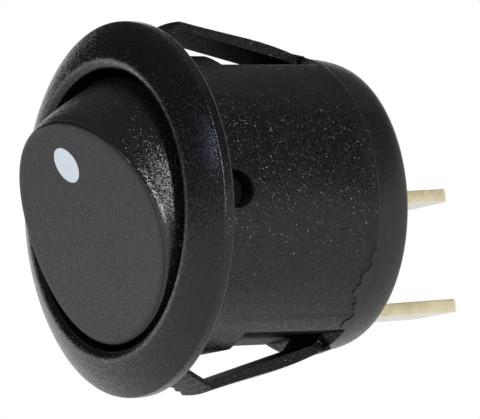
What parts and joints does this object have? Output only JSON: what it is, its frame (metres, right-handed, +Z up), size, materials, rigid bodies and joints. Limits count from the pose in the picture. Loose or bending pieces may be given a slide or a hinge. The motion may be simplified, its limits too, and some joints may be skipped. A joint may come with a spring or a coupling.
{
  "type": "panel rocker switch",
  "caption": "Round snap-in panel rocker switch: a black tilting button with a white dot in a round bezel, sprung side arms that grip the panel, and two flat tab terminals at the rear.",
  "frame": {"origin": "centre of the flange's rear seating face, on the axis of the round body", "axes": "+Y along the body's axis, from the rocker to the terminals; +Z up, towards the dot end of the rocker; X along the rocker's axle"},
  "size_m": [0.023, 0.028, 0.023],
  "materials": {
    "housing_plastic": "black glass-filled nylon, fine spark-eroded grain",
    "rocker_plastic": "black nylon, smooth satin face and coarse grained sides",
    "dot_print": "bluish white ink",
    "plunger_plastic": "natural acetal",
    "spring_wire": "drawn spring wire",
    "lever_brass": "rolled strip",
    "contact_silver": "silver alloy rivet",
    "terminal_plate": "tin-plated brass strip with bare sheared edges"
  },
  "bodies": {
    "base": {"housing": "housing_plastic", "common_terminal": "terminal_plate", "load_terminal": "terminal_plate", "fixed_contact": "contact_silver"},
    "button": {"rocker": "rocker_plastic", "on_dot": "dot_print", "plunger_spring": "spring_wire"},
    "pusher": {"plunger": "plunger_plastic"},
    "bridge": {"contact_lever": "lever_brass", "moving_contact": "contact_silver"}
  },
  "joints": [
    {"name": "rocker_pivot", "type": "hinge", "parent": "base", "child": "button", "pos_m": [0, 0.00145, 0], "axis": [-1, 0, 0], "range_deg": [0, 32]},
    {"name": "plunger_slide", "type": "slide", "parent": "button", "child": "pusher", "axis": [0, -0.9613, -0.2756], "range_m": [0, 0.0006], "stiffness_N_per_m": 400, "springref_m": -0.003, "deforming": ["plunger_spring"]},
    {"name": "lever_rock", "type": "hinge", "parent": "base", "child": "bridge", "pos_m": [0, 0.0072, 0], "axis": [1, 0, 0], "range_deg": [0, 20]}
  ],
  "couplings": [
    {"joint": "lever_rock", "follows": "rocker_pivot", "ratio": 0.625}
  ]
}
